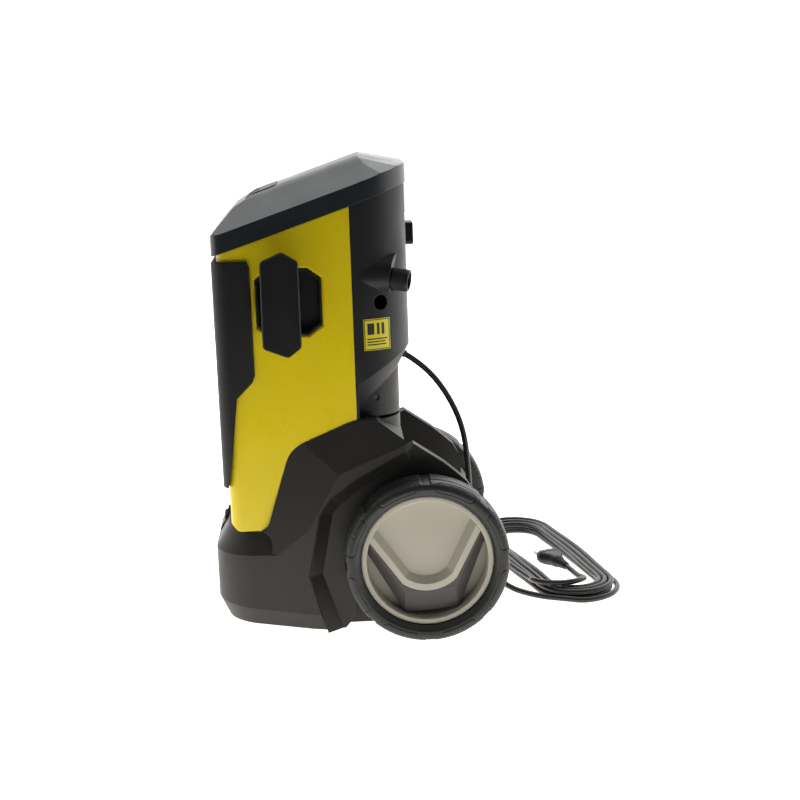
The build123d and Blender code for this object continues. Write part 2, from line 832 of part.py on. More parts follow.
shaft_top = bell_z + 2
stator_outer = motor_radius - 5
stator_inner = 35
core_bottom, core_top = 200, 276

with BuildPart() as motor_can:
    add(upright_ring(motor_z, bell_z, motor_radius, motor_radius - 3))
    add(upright_ring(motor_z, motor_z + 5, motor_radius, 15))
    add(upright_ring(core_bottom - 6, core_top + 6, motor_radius - 2, stator_outer))
save(motor_can.part, "motor_can")

with BuildPart() as motor_end_bell:
    add(upright_ring(bell_z, bell_z + 12, motor_radius, 0))
    add(upright_ring(bell_z - 14, bell_z, 21, 16))
    add(upright_ring(bell_z + 12, bell_z + 24, 9, 0, (water_port_x, drive_y)))
    with BuildSketch(upright(bell_z + 25, water_port_x)):
        Circle(5)
    extrude(amount=-10, mode=Mode.SUBTRACT)
    add(upright_ring(bell_z - 1, bell_z + 4, shaft_radius + 1, 0), mode=Mode.SUBTRACT)
save(motor_end_bell.part, "motor_end_bell")

with BuildPart() as stator_core:
    with BuildSketch(upright(core_bottom)):
        Circle(stator_outer)
        Circle(stator_inner, mode=Mode.SUBTRACT)
        with PolarLocations(stator_inner + 6.5, 12):
            SlotOverall(11, 5, mode=Mode.SUBTRACT)
    extrude(amount=core_top - core_bottom)
save(stator_core.part, "stator_core")

with BuildPart() as stator_windings:
    for bottom in (core_bottom - 17, core_top + 0.5):
        add(upright_ring(bottom, bottom + 16.5, stator_outer - 4, stator_inner + 1))
    fillet(stator_windings.edges(), 4)
save(stator_windings.part, "stator_windings")

with BuildPart() as motor_rotor:
    add(upright_ring(core_bottom + 1, core_top - 1, stator_inner - 0.8, shaft_radius))
    add(upright_ring(core_bottom - 5, core_top + 5, stator_inner - 4, stator_inner - 13))
save(motor_rotor.part, "motor_rotor")

with BuildPart() as motor_shaft:
    add(upright_ring(swash_low_z + 6, shaft_top, shaft_radius, 0))
    chamfer(motor_shaft.edges(), 0.8)
save(motor_shaft.part, "motor_shaft")

with BuildPart() as shaft_bearings:
    for bottom in (motor_z - 9, bell_z - 12):
        add(upright_ring(bottom, bottom + 9, 16, 12.5))
        add(upright_ring(bottom, bottom + 9, 10.5, shaft_radius + 0.02))
        with BuildSketch(upright(bottom + 4.5)):
            with PolarLocations(11.5, 8):
                Circle(2)
        extrude(amount=2, both=True)
save(shaft_bearings.part, "shaft_bearings")

with BuildPart() as run_capacitor:
    add(upright_ring(bell_z + 14, bell_z + 78, 17, 0, (-44, drive_y + 30)))
    fillet(run_capacitor.edges().group_by(Axis.Z)[-1], 3)
    add(upright_ring(bell_z + 12, bell_z + 15, 5, 0, (-44, drive_y + 30)))
save(run_capacitor.part, "run_capacitor")


# ---------------------------------------------------------------- axial-piston pump
piston_places = PolarLocations(piston_circle, 3, start_angle=30)

with BuildPart() as swash_plate:
    add(upright_ring(swash_low_z, swash_low_z + 20, 34, 0))
    trim((0, -sin(radians(10)), -cos(radians(10))), (0, drive_y, swash_low_z + 6))
    add(upright_ring(swash_low_z - 5, swash_low_z + 40, shaft_radius, 0), mode=Mode.SUBTRACT)
save(swash_plate.part, "swash_plate")

with BuildPart() as pump_housing:
    add(upright_ring(housing_z, motor_z, 50, 44))
    add(upright_ring(motor_z - 10, motor_z, 44.5, 16))
    add(upright_ring(housing_z, housing_z + 8, 54, 49))
save(pump_housing.part, "pump_housing")

with BuildPart() as cylinder_block:
    with BuildSketch(upright(block_z)):
        Circle(44)
        with piston_places:
            Circle(piston_radius + 0.05, mode=Mode.SUBTRACT)
    extrude(amount=housing_z - block_z)
save(cylinder_block.part, "cylinder_block")

with BuildPart() as pump_pistons:
    with BuildSketch(upright(block_z + 14)):
        with piston_places:
            Circle(piston_radius)
    extrude(amount=piston_top - block_z - 14)
    with BuildSketch(upright(piston_top - 4)):
        with piston_places:
            Circle(piston_radius + 3)
    extrude(amount=2.5)
save(pump_pistons.part, "pump_pistons")

spring_radius = piston_radius + 1.6
spring_turns = 4
spring_height = piston_top - 4 - housing_z - 2.2

with BuildPart() as spring:
    with BuildLine() as coil:
        Helix(spring_height / spring_turns, spring_height, spring_radius)
    with BuildSketch(Plane(coil.line @ 0, z_dir=coil.line % 0)):
        Circle(0.9)
    sweep(is_frenet=True)

with BuildPart() as piston_springs:
    with Locations((0, drive_y, housing_z + 1)):
        with PolarLocations(piston_circle, 3, start_angle=30):
            add(spring.part)
save(piston_springs.part, "piston_springs")

with BuildPart() as pump_head:
    add(upright_ring(head_z, block_z, 46, 0))
    chamfer(pump_head.edges().group_by(Axis.Z)[0], 3)
    with BuildSketch(facing_front(drive_y - 40, pipe_low_z)):
        Circle(11)
    extrude(amount=13)
    with BuildSketch(facing_front(drive_y - 20, pipe_low_z)):
        Circle(6.02)
    extrude(amount=40, mode=Mode.SUBTRACT)
    with BuildSketch(upright(block_z)):
        with PolarLocations(35, 3, start_angle=90):
            Circle(3)
    extrude(amount=-20, mode=Mode.SUBTRACT)
save(pump_head.part, "pump_head")

with BuildPart() as drive_bolts:
    with BuildSketch(upright(block_z)):
        with PolarLocations(35, 3, start_angle=90):
            Circle(3)
    extrude(amount=-20)
save(drive_bolts.part, "drive_bolts")

with BuildPart() as drive_mounts:
    with BuildSketch(upright(18)):
        with PolarLocations(30, 3, start_angle=90):
            Circle(9)
    extrude(amount=head_z - 18)
save(drive_mounts.part, "drive_mounts")


# ---------------------------------------------------------------- water fittings
outlet_bore = 6.5
nipple_length = 52

with BuildPart() as outlet_socket:
    with BuildSketch(facing_front(outlet_back_y, outlet_z)):
        Circle(outlet_radius)
    extrude(amount=outlet_back_y - outlet_face_y)
    chamfer(outlet_socket.edges().group_by(Axis.Y)[0], 1.5)
    with BuildSketch(facing_front(outlet_back_y - 10, outlet_z)):
        Circle(outlet_bore)
    extrude(amount=40, mode=Mode.SUBTRACT)
    with BuildSketch(facing_front(outlet_back_y + 1, outlet_z)):
        Circle(6.02)
    extrude(amount=12, mode=Mode.SUBTRACT)
    with BuildSketch(facing_front(outlet_face_y + 4, outlet_z + 13)):
        Rectangle(11.4, 12)
    extrude(amount=-7, mode=Mode.SUBTRACT)
save(outlet_socket.part, "outlet_socket")

with BuildPart() as outlet_release:
    with BuildSketch(facing_front(outlet_face_y + 4.4, outlet_z + 15)):
        Rectangle(10.6, 9)
    extrude(amount=-6.2)
    fillet(outlet_release.edges().group_by(Axis.Z)[-1], 1.2)
save(outlet_release.part, "outlet_release")

with BuildPart() as pressure_tube:
    with BuildLine() as run:
        FilletPolyline((0, drive_y - 42, pipe_low_z), (0, -124, pipe_low_z), (0, -124, outlet_z),
                       (0, outlet_back_y - 8, outlet_z), radius=14)
    with BuildSketch(Plane(run.line @ 0, z_dir=run.line % 0)):
        Circle(6)
        Circle(4, mode=Mode.SUBTRACT)
    sweep()
save(pressure_tube.part, "pressure_tube")

with BuildPart() as inlet_connector:
    with BuildSketch(along_inlet(nipple_length)):
        Circle(9.5)
        Circle(6.5, mode=Mode.SUBTRACT)
    extrude(amount=nipple_length - nut_mouth - 1)
    with BuildSketch(along_inlet(nut_length + 14)):
        Circle(12)
        Circle(6.5, mode=Mode.SUBTRACT)
    extrude(amount=5)
save(inlet_connector.part, "inlet_connector")

with BuildPart() as inlet_ring_nut:
    with BuildSketch(along_inlet(nut_length)):
        Circle(nut_radius)
        with PolarLocations(nut_radius + 0.4, 24):
            Circle(0.9, mode=Mode.SUBTRACT)
    extrude(amount=nut_length)
    for radius, distance in ((9.56, nut_length + 1), (nut_thread, nut_mouth)):
        with BuildSketch(along_inlet(distance)):
            Circle(radius)
        extrude(amount=nut_length + 2, mode=Mode.SUBTRACT)
save(inlet_ring_nut.part, "inlet_ring_nut")

with BuildPart() as inlet_filter:
    with BuildSketch(along_inlet(nut_mouth + 16)):
        Circle(6.4)
    extrude(amount=14)
    with BuildSketch(along_inlet(nut_mouth + 15)):
        Circle(5.4)
    extrude(amount=15, mode=Mode.SUBTRACT)
save(inlet_filter.part, "inlet_filter")

with BuildPart() as water_tube:
    start = Vector(water_port_x, drive_y, bell_z + 24)
    finish = Vector(*inlet_tip) - inlet_axis * nipple_length
    with BuildLine() as run:
        FilletPolyline(start, start + Vector(0, 0, 88), finish - inlet_axis * 34, finish, radius=[16, 14])
    with BuildSketch(Plane(run.line @ 0, z_dir=run.line % 0)):
        Circle(6)
        Circle(4, mode=Mode.SUBTRACT)
    sweep()
save(water_tube.part, "water_tube")


# ---------------------------------------------------------------- small outside pieces
with BuildPart() as front_feet:
    with BuildSketch():
        with Locations((46, -136), (-46, -136)):
            Circle(13)
    extrude(amount=20)
    split(bisect_by=floor_plane, keep=Keep.TOP)
save(front_feet.part, "front_feet")

with BuildPart() as rear_clip:
    with BuildSketch(Plane((0, case_rear_y, 480), x_dir=(-1, 0, 0), z_dir=(0, 1, 0))):
        RectangleRounded(34, 28, 5)
    extrude(amount=11)
    fillet(rear_clip.edges().group_by(Axis.Y)[-1], 1.5)
    with BuildSketch(Plane((0, case_rear_y, 480), x_dir=(-1, 0, 0), z_dir=(0, 1, 0))):
        RectangleRounded(20, 9, 4)
    extrude(amount=12, mode=Mode.SUBTRACT)
save(rear_clip.part, "rear_clip")

with BuildPart() as side_label:
    add(case_band(0.5, -0.05, 350, 388))
    trim((0, -1, 0), (0, 14, 0))
    trim((0, 1, 0), (0, 46, 0))
    trim((-1, 0, 0), (0, 0, 0))
save(side_label.part, "side_label")

with BuildPart() as case_screws:
    for side in (1, -1):
        with BuildSketch(corner_plane(side, 85, *waist_screw).offset(-4)):
            Circle(3.8)
        extrude(amount=2.5)
        with BuildSketch(corner_plane(side, 85, *waist_screw).offset(-16)):
            Circle(2)
        extrude(amount=12)
save(case_screws.part, "case_screws")

with BuildPart() as cord_gland:
    gland_run = Vector(*gland_end) - Vector(*gland_start)
    with BuildSketch(Plane(gland_start, z_dir=gland_run)):
        Circle(8)
    extrude(amount=gland_run.length, taper=8)
save(cord_gland.part, "cord_gland")


# ---------------------------------------------------------------- mains cord
# the free stretch: out of the gland, over and down between the wheels, then into the loose coil
cord_route = [gland_end, (0, 92, 310.2), (0, 122, 270), (0, 141, 222), (1, 145, 164), (4, 147, 104),
              (10, 158, 52), (20, 186, 17), (34, 226, 6), (50, 267, 5.5)]
tail_route = [(-57, 281, 13.5), (-42, 286.5, 10), (-24, 291, 6), (16, 295.5, 5.2)]
plug_arm = (0.944, 0.33)
plug_length = 58
plug_width = 36
plug_height = 18
plug_neck_radius = 9
plug_sleeve = 24


def bend_radii(route):
    """Radius of each bend: as wide as the shorter of its two runs allows."""
    points = [Vector(*point) for point in route]
    radii = []
    for before, corner, after in zip(points, points[1:], points[2:]):
        half_turn = radians((corner - before).get_angle(after - corner)) / 2
        shorter = min((corner - before).length, (after - corner).length)
        radii.append(0.45 * shorter / tan(half_turn))
    return radii


def cord_tube(route):
    """Round cord of straight runs joined by tangent arcs."""
    with BuildPart() as tube:
        with BuildLine() as path:
            FilletPolyline(*route, radius=bend_radii(route))
        with BuildSketch(Plane(path.line @ 0, z_dir=path.line % 0)):
            Circle(cord_diameter / 2)
        sweep()
    length = sum(edge.length for edge in path.edges())
    section = pi * cord_diameter ** 2 / 4
    print("bend radii", [round(radius) for radius in bend_radii(route)])
    print("length", round(length, 1), "volume", round(tube.part.volume))
    print("section x length", round(length * section))
    return tube.part


power_cord = cord_tube(cord_route)
save(power_cord, "power_cord")
cord_tail = cord_tube(tail_route)
save(cord_tail, "cord_tail")

with BuildPart() as cord_coil:
    with BuildSketch(Plane((*coil_centre, 0.3)).rotated((0, 0, coil_turn))):
        SlotOverall(2 * coil_half_length, 2 * coil_half_width)
        SlotOverall(2 * (coil_half_length - coil_band), 2 * (coil_half_width - coil_band), mode=Mode.SUBTRACT)
    extrude(amount=coil_height)
    fillet(cord_coil.edges(), 9)
    add([power_cord, cord_tail], mode=Mode.SUBTRACT)
save(cord_coil.part, "cord_coil")

plug_axis = Vector(*plug_arm, 0)
plug_face = Vector(*tail_route[0]) - plug_axis * plug_length


def across_plug(distance):
    """Work plane square to the plug, at a distance from its face towards the cord; local y points up."""
    return Plane(plug_face + plug_axis * distance, x_dir=plug_axis.cross(Vector(0, 0, 1)), z_dir=-plug_axis)


with BuildPart() as mains_plug:
    with BuildSketch(across_plug(12)):
        RectangleRounded(plug_width, plug_height, 8)
    extrude(amount=12)
    fillet(mains_plug.faces().sort_by(Axis(plug_face, plug_axis))[0].edges(), 1.5)
    with BuildSketch(across_plug(12)):
        RectangleRounded(plug_width, plug_height, 8)
    with BuildSketch(across_plug(plug_length - plug_sleeve)):
        Circle(plug_neck_radius)
    loft()
    with BuildSketch(across_plug(plug_length - plug_sleeve)):
        Circle(plug_neck_radius - 1)
    with BuildSketch(across_plug(plug_length)):
        Circle(cord_diameter / 2 + 1)
    loft()
save(mains_plug.part, "mains_plug")

with BuildPart() as plug_pins:
    with BuildSketch(across_plug(0)):
        with Locations((9.5, 0), (-9.5, 0)):
            Circle(2.4)
    extrude(amount=19)
    chamfer(plug_pins.faces().sort_by(Axis(plug_face, -plug_axis))[-2:].edges(), 1)
save(plug_pins.part, "plug_pins")
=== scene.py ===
"""Looks of the upright pressure washer: camera, studio, treaded tyres, mains cord, plug, strain relief,
ring nut and the materials of every piece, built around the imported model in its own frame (metres, Z up)."""

import json
from math import cos, pi, radians, sin, tau

import bpy
from mathutils import Matrix, Vector


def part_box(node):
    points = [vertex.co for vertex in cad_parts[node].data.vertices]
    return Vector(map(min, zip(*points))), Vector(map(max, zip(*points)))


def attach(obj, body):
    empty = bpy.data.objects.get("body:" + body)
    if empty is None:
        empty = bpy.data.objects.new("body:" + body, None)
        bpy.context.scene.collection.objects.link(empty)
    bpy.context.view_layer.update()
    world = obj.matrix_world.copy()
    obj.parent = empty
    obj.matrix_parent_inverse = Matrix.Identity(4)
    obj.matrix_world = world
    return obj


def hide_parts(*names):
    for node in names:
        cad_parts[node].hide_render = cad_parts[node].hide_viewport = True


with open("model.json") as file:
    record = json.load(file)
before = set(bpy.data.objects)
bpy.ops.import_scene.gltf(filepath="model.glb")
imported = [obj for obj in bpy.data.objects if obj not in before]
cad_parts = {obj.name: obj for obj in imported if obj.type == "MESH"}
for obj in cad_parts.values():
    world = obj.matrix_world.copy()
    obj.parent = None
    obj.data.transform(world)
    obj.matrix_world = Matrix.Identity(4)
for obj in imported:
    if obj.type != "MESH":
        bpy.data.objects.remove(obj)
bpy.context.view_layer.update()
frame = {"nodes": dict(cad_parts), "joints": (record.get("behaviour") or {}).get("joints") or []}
nodes = frame["nodes"]
joints = {joint["name"]: joint for joint in frame["joints"]}
mm = 0.001


# ---------------------------------------------------------------- camera, floor and light
camera_place = (1.8621, -0.0284, 0.6618)
camera_heading = radians(-2.7)
camera_pitch = radians(11.98)
camera_roll = radians(-1.95)
camera_lens = 67.11
camera_sensor = 36

# The surroundings' light depends on how far a direction points towards the camera (+1) or away (-1);
# what the camera itself sees of them is the plain backdrop.
dim_from = 0.55
dim_strength = 0.07
bright_from = -0.35
bright_strength = 1.3
backdrop_strength = 1.05

back_light_place = (-1.6, 0.6, 1.5)
back_light_target = (0, 0, 0.3)
back_light_size = 1.6
back_light_power = 7

floor_near_edge = 0.75
floor_far_edge = -6
floor_half_width = 6
floor_colour = (0.93, 0.93, 0.92, 1)
floor_roughness = 0.9
floor_glow = (1, 0.95, 0.88, 1)
floor_glow_strength = 1.3


def make_camera():
    """Long lens at the machine's left side, a little above the lid."""
    forward = Vector((-cos(camera_pitch) * cos(camera_heading),
                      -cos(camera_pitch) * sin(camera_heading),
                      -sin(camera_pitch)))
    level = forward.cross(Vector((0, 0, 1))).normalized()
    upward = level.cross(forward)
    right = level * cos(camera_roll) + upward * sin(camera_roll)
    up = upward * cos(camera_roll) - level * sin(camera_roll)
    camera = bpy.data.objects.new("camera", bpy.data.cameras.new("camera"))
    camera.data.lens = camera_lens
    camera.data.sensor_width = camera_sensor
    axes = Matrix((right, up, -forward)).transposed().to_4x4()
    camera.matrix_world = Matrix.Translation(camera_place) @ axes
    bpy.context.scene.collection.objects.link(camera)
    bpy.context.scene.camera = camera


def area_light(name, place, target, size, power):
    """Soft white square light that looks at a point."""
    light = bpy.data.lights.new(name, "AREA")
    light.shape = "SQUARE"
    light.size = size
    light.energy = power
    lamp = bpy.data.objects.new(name, light)
    lamp.location = place
    lamp.rotation_euler = (Vector(target) - Vector(place)).to_track_quat("-Z", "Y").to_euler()
    bpy.context.scene.collection.objects.link(lamp)


def make_studio():
    """White surroundings that are bright behind the machine and dim behind the camera."""
    world = bpy.data.worlds.new("studio")
    bpy.context.scene.world = world
    world.use_nodes = True
    tree = world.node_tree
    tree.nodes.clear()
    direction = tree.nodes.new("ShaderNodeTexCoord")
    parts = tree.nodes.new("ShaderNodeSeparateXYZ")
    tree.links.new(direction.outputs["Generated"], parts.inputs[0])
    glow = tree.nodes.new("ShaderNodeMapRange")
    glow.inputs["From Min"].default_value = dim_from
    glow.inputs["From Max"].default_value = bright_from
    glow.inputs["To Min"].default_value = dim_strength
    glow.inputs["To Max"].default_value = bright_strength
    tree.links.new(parts.outputs["X"], glow.inputs["Value"])
    seen = tree.nodes.new("ShaderNodeLightPath")
    strength = tree.nodes.new("ShaderNodeMix")
    strength.inputs["B"].default_value = backdrop_strength
    tree.links.new(seen.outputs["Is Camera Ray"], strength.inputs["Factor"])
    tree.links.new(glow.outputs["Result"], strength.inputs["A"])
    background = tree.nodes.new("ShaderNodeBackground")
    background.inputs["Color"].default_value = (1, 1, 1, 1)
    tree.links.new(strength.outputs["Result"], background.inputs["Strength"])
    output = tree.nodes.new("ShaderNodeOutputWorld")
    tree.links.new(background.outputs[0], output.inputs[0])
    bpy.context.scene.view_settings.view_transform = "Standard"
    area_light("back_light", back_light_place, back_light_target, back_light_size, back_light_power)


def make_floor():
    """Matt white table, lit from within, that ends between the machine and the camera."""
    mesh = bpy.data.meshes.new("floor")
    near, far, half = floor_near_edge, floor_far_edge, floor_half_width
    mesh.from_pydata([(far, -half, 0), (near, -half, 0), (near, half, 0), (far, half, 0)], [], [(0, 1, 2, 3)])
    floor = bpy.data.objects.new("floor", mesh)
    bpy.context.scene.collection.objects.link(floor)
    coating = bpy.data.materials.new("floor_paint")
    coating.use_nodes = True
    shader = coating.node_tree.nodes["Principled BSDF"]
    shader.inputs["Base Color"].default_value = floor_colour
    shader.inputs["Roughness"].default_value = floor_roughness
    shader.inputs["Emission Color"].default_value = floor_glow
    shader.inputs["Emission Strength"].default_value = floor_glow_strength
    mesh.materials.append(coating)


# ---------------------------------------------------------------- material building blocks
gate_mark_radius = 10 * mm
pointer_width = 2.4 * mm
pointer_length = 10 * mm

# Printed areas of the side label, as shares of its width and height: (left, right, bottom, top).
label_border_outside = (0.02, 0.98, 0.02, 0.98)
label_border_inside = (0.05, 0.95, 0.045, 0.955)
label_blocks = [(0.14, 0.4, 0.5, 0.86), (0.5, 0.6, 0.5, 0.86), (0.68, 0.78, 0.5, 0.86)]
label_rules = [(0.12, 0.88, 0.34, 0.38), (0.12, 0.8, 0.25, 0.29), (0.12, 0.84, 0.16, 0.2)]


class Graph:
    """Node tree of one material, ending in a Principled shader."""

    def __init__(self, name, roughness, metallic=0.0, **sockets):
        self.material = bpy.data.materials.new(name)
        self.material.use_nodes = True
        self.tree = self.material.node_tree
        self.shader = self.tree.nodes["Principled BSDF"]
        self.shader.inputs["Roughness"].default_value = roughness
        self.shader.inputs["Metallic"].default_value = metallic
        for socket, value in sockets.items():
            self.shader.inputs[socket.replace("_", " ")].default_value = value
        self.place = self.node("ShaderNodeTexCoord").outputs["Object"]

    def node(self, kind, inputs=(), **settings):
        """Adds a node; inputs pairs a socket with a value or with another node's output."""
        made = self.tree.nodes.new(kind)
        for setting, value in settings.items():
            setattr(made, setting, value)
        for socket, value in dict(inputs).items():
            if isinstance(value, bpy.types.NodeSocket):
                self.tree.links.new(value, made.inputs[socket])
            else:
                made.inputs[socket].default_value = value
        return made

    def noise(self, scale, detail, rough=0.5, stretch=None):
        """Cloudy value from 0 to 1; scale is in features per metre."""
        place = self.place
        if stretch:
            place = self.node("ShaderNodeMapping", {"Vector": place, "Scale": stretch}).outputs[0]
        inputs = {"Vector": place, "Scale": scale, "Detail": detail, "Roughness": rough}
        return self.node("ShaderNodeTexNoise", inputs).outputs["Fac"]

    def ranged(self, value, low, high, out_low, out_high):
        """Maps a value from one range to another, clamped."""
        inputs = {"Value": value, "From Min": low, "From Max": high, "To Min": out_low, "To Max": out_high}
        return self.node("ShaderNodeMapRange", inputs).outputs["Result"]

    def maths(self, operation, first, second=0.0):
        """One arithmetic step."""
        return self.node("ShaderNodeMath", {0: first, 1: second}, operation=operation).outputs[0]

    def mixed(self, factor, first, second):
        """Blend of two colours."""
        made = self.node("ShaderNodeMix", data_type="RGBA")
        for socket, value in ((made.inputs[0], factor), (made.inputs[6], first), (made.inputs[7], second)):
            if isinstance(value, bpy.types.NodeSocket):
                self.tree.links.new(value, socket)
            elif socket == made.inputs[0]:
                socket.default_value = value
            else:
                socket.default_value = (*value, 1)
        return made.outputs[2]

    def edges(self, radius):
        """Normal of softly rounded edges, and how strongly a point belongs to an edge."""
        rounded = self.node("ShaderNodeBevel", {"Radius": radius}, samples=4).outputs[0]
        true = self.node("ShaderNodeNewGeometry").outputs["Normal"]
        compared = self.node("ShaderNodeVectorMath", {0: rounded, 1: true}, operation="DOT_PRODUCT")
        return rounded, self.ranged(compared.outputs["Value"], 1.0, 0.8, 0.0, 1.0)

    def bump(self, height, depth, strength, normal=None):
        """Relief of a given depth in metres, on top of another normal if there is one."""
        inputs = {"Height": height, "Distance": depth, "Strength": strength}
        if normal is not None:
            inputs["Normal"] = normal
        return self.node("ShaderNodeBump", inputs).outputs[0]

    def surface(self, colour, roughness, normal):
        """Plugs colour, roughness and normal into the shader where given, and returns the material."""
        for socket, value in (("Base Color", colour), ("Roughness", roughness), ("Normal", normal)):
            if value is not None:
                self.tree.links.new(value, self.shader.inputs[socket])
        return self.material


def shade(colour, factor):
    """A colour made darker or lighter."""
    return tuple(min(1.0, channel * factor) for channel in colour)


def plastic(name, colour, roughness, grain=0.05, edge_highlight=0.25, highlit_colour=None, radius=1.0, **sockets):
    """Moulded plastic: faint colour clouds, fine grain, and a painted highlight along the rounded edges,
    broken up by noise.
    """
    look = Graph(name, roughness, **sockets)
    rounded, edge = look.edges(radius * mm)
    clouds = look.mixed(look.noise(9, 4), shade(colour, 0.88), shade(colour, 1.1))
    specks = look.mixed(look.ranged(look.noise(420, 2), 0.58, 0.75, 0, 0.12), clouds, shade(colour, 1.3))
    # Painted highlight: the rounded edges are coloured lighter, in noisy patches, towards a lighter copy of
    # the colour.
    highlit_edges = look.maths("MULTIPLY", edge, look.ranged(look.noise(70, 3), 0.4, 0.65, 0.2, 1))
    shown = look.mixed(look.maths("MULTIPLY", highlit_edges, edge_highlight), specks, highlit_colour or shade(colour, 2.2))
    smudges = look.ranged(look.noise(22, 5, 0.6), 0.3, 0.7, roughness - 0.06, roughness + 0.08)
    relief = look.bump(look.noise(1500, 2), grain * mm, 0.6, rounded)
    return look.surface(shown, smudges, relief)


def metal(name, colour, roughness, stretch=(1, 1, 1)):
    """Machined or cast metal with fine tool marks and a painted highlight on its rounded edges."""
    look = Graph(name, roughness, 1.0)
    rounded, edge = look.edges(0.5 * mm)
    marks = look.noise(300, 3, stretch=stretch)
    tone = look.mixed(marks, shade(colour, 0.85), shade(colour, 1.12))
    gloss = look.ranged(marks, 0.3, 0.7, roughness - 0.08, roughness + 0.1)
    # Painted highlight: the rounded edges are coloured lighter than the metal.
    shown = look.mixed(edge, tone, shade(colour, 1.3))
    relief = look.bump(marks, 0.03 * mm, 0.5, rounded)
    return look.surface(shown, gloss, relief)


def wheel_plastic(name, colour, hub):
    """Warm grey plastic of the wheel, with a faint round gate mark at the hub and a painted highlight on its
    rounded edges.
    """
    look = Graph(name, 0.36)
    rounded, edge = look.edges(1.2 * mm)
    clouds = look.mixed(look.noise(14, 4), shade(colour, 0.93), shade(colour, 1.06))
    offset = look.node("ShaderNodeVectorMath", {0: look.place, 1: hub}, operation="SUBTRACT").outputs[0]
    flat = look.node("ShaderNodeVectorMath", {0: offset, 1: (0, 1, 1)}, operation="MULTIPLY").outputs[0]
    away = look.node("ShaderNodeVectorMath", {0: flat}, operation="LENGTH").outputs["Value"]
    mark = look.ranged(away, gate_mark_radius, gate_mark_radius + 0.6 * mm, 0, 1)
    relief = look.bump(mark, 0.25 * mm, 0.5, look.bump(look.noise(1300, 2), 0.03 * mm, 0.5, rounded))
    # Painted highlight: the rounded edges are coloured lighter.
    shown = look.mixed(look.maths("MULTIPLY", edge, 0.3), clouds, shade(colour, 1.25))
    return look.surface(shown, look.ranged(look.noise(25, 4), 0.3, 0.7, 0.3, 0.44), relief)


def rubber(name, colour, roughness, bloom=1.5):
    """Rubber with a dusty bloom, fine pores and a painted highlight on its rounded edges."""
    look = Graph(name, roughness)
    rounded, edge = look.edges(0.6 * mm)
    dust = look.mixed(look.ranged(look.noise(35, 6, 0.65), 0.42, 0.7, 0, 0.8), colour, shade(colour, bloom))
    # Painted highlight: the rounded edges are coloured lighter than the rubber.
    shown = look.mixed(look.maths("MULTIPLY", edge, 0.35), dust, shade(colour, 2.4))
    gloss = look.ranged(look.noise(60, 4), 0.3, 0.7, roughness - 0.08, roughness + 0.08)
    return look.surface(shown, gloss, look.bump(look.noise(2200, 3), 0.05 * mm, 0.6, rounded))


def printed_label(name):
    """Yellow foil with a dark border, plain dark blocks and rules, without any wording."""
    look = Graph(name, 0.35)
    low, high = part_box("side_label")
    parts = look.node("ShaderNodeSeparateXYZ", {0: look.place})
    width = high.y - low.y
    height = high.z - low.z

    def block(left, right, bottom, top):
        """1 inside a rectangle of the label, 0 outside."""
        inside = [look.maths("GREATER_THAN", parts.outputs["Y"], low.y + left * width),
                  look.maths("LESS_THAN", parts.outputs["Y"], low.y + right * width),
                  look.maths("GREATER_THAN", parts.outputs["Z"], low.z + bottom * height),
                  look.maths("LESS_THAN", parts.outputs["Z"], low.z + top * height)]
        both = look.maths("MULTIPLY", inside[0], inside[1])
        return look.maths("MULTIPLY", both, look.maths("MULTIPLY", inside[2], inside[3]))

    ink = look.maths("SUBTRACT", block(*label_border_outside), block(*label_border_inside))
    for sides in label_blocks + label_rules:
        ink = look.maths("ADD", ink, block(*sides))
    foil = look.mixed(look.noise(60, 3), (0.72, 0.62, 0.02), (0.85, 0.75, 0.05))
    shown = look.mixed(ink, foil, (0.03, 0.03, 0.03))
    return look.surface(shown, None, look.bump(ink, 0.02 * mm, 0.4))


def marked_knob(name, colour):
    """Black knob with one pale pointer mark towards the top and a painted highlight on its rounded edges."""
    look = Graph(name, 0.42)
    rounded, edge = look.edges(0.8 * mm)
    parts = look.node("ShaderNodeSeparateXYZ", {0: look.place})
    low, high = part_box("control_knob")
    aside = look.maths("ABSOLUTE", look.maths("SUBTRACT", parts.outputs["X"], (low.x + high.x) / 2))
    narrow = look.maths("LESS_THAN", aside, pointer_width / 2)
    outer = look.maths("GREATER_THAN", parts.outputs["Z"], high.z - pointer_length)
    mark = look.maths("MULTIPLY", narrow, outer)
    clouds = look.mixed(look.noise(20, 4), shade(colour, 0.85), shade(colour, 1.15))
    # Painted highlight: the knob's rounded edges are coloured lighter.
    highlit_colour = look.mixed(look.maths("MULTIPLY", edge, 0.3), clouds, shade(colour, 2.4))
    shown = look.mixed(mark, highlit_colour, (0.75, 0.75, 0.72))
    relief = look.bump(look.noise(1500, 2), 0.05 * mm, 0.5, rounded)
    return look.surface(shown, None, relief)


def paint(material, *names):
    """Gives CAD nodes a material."""
    for name in names:
        mesh = nodes[name].data
        mesh.materials.clear()
        mesh.materials.append(material)


# ---------------------------------------------------------------- mesh building blocks
def mesh_piece(name, points, faces, material, smooth_angle=35):
    """Mesh object from points and faces, smooth except across sharp edges."""
    mesh = bpy.data.meshes.new(name)
    mesh.from_pydata(points, [], faces)
    mesh.materials.append(material)
    mesh.shade_smooth()
    mesh.set_sharp_from_angle(angle=radians(smooth_angle))
    piece = bpy.data.objects.new(name, mesh)
    bpy.context.scene.collection.objects.link(piece)
    return piece


def ring_faces(count, steps):
    """Faces between copies of a closed section of count points, set round in a ring of steps."""
    faces = []
    for turn in range(steps):
        here = turn * count
        ahead = (turn + 1) % steps * count
        for index in range(count):
            after = (index + 1) % count
            faces.append((here + index, here + after, ahead + after, ahead + index))
    return faces


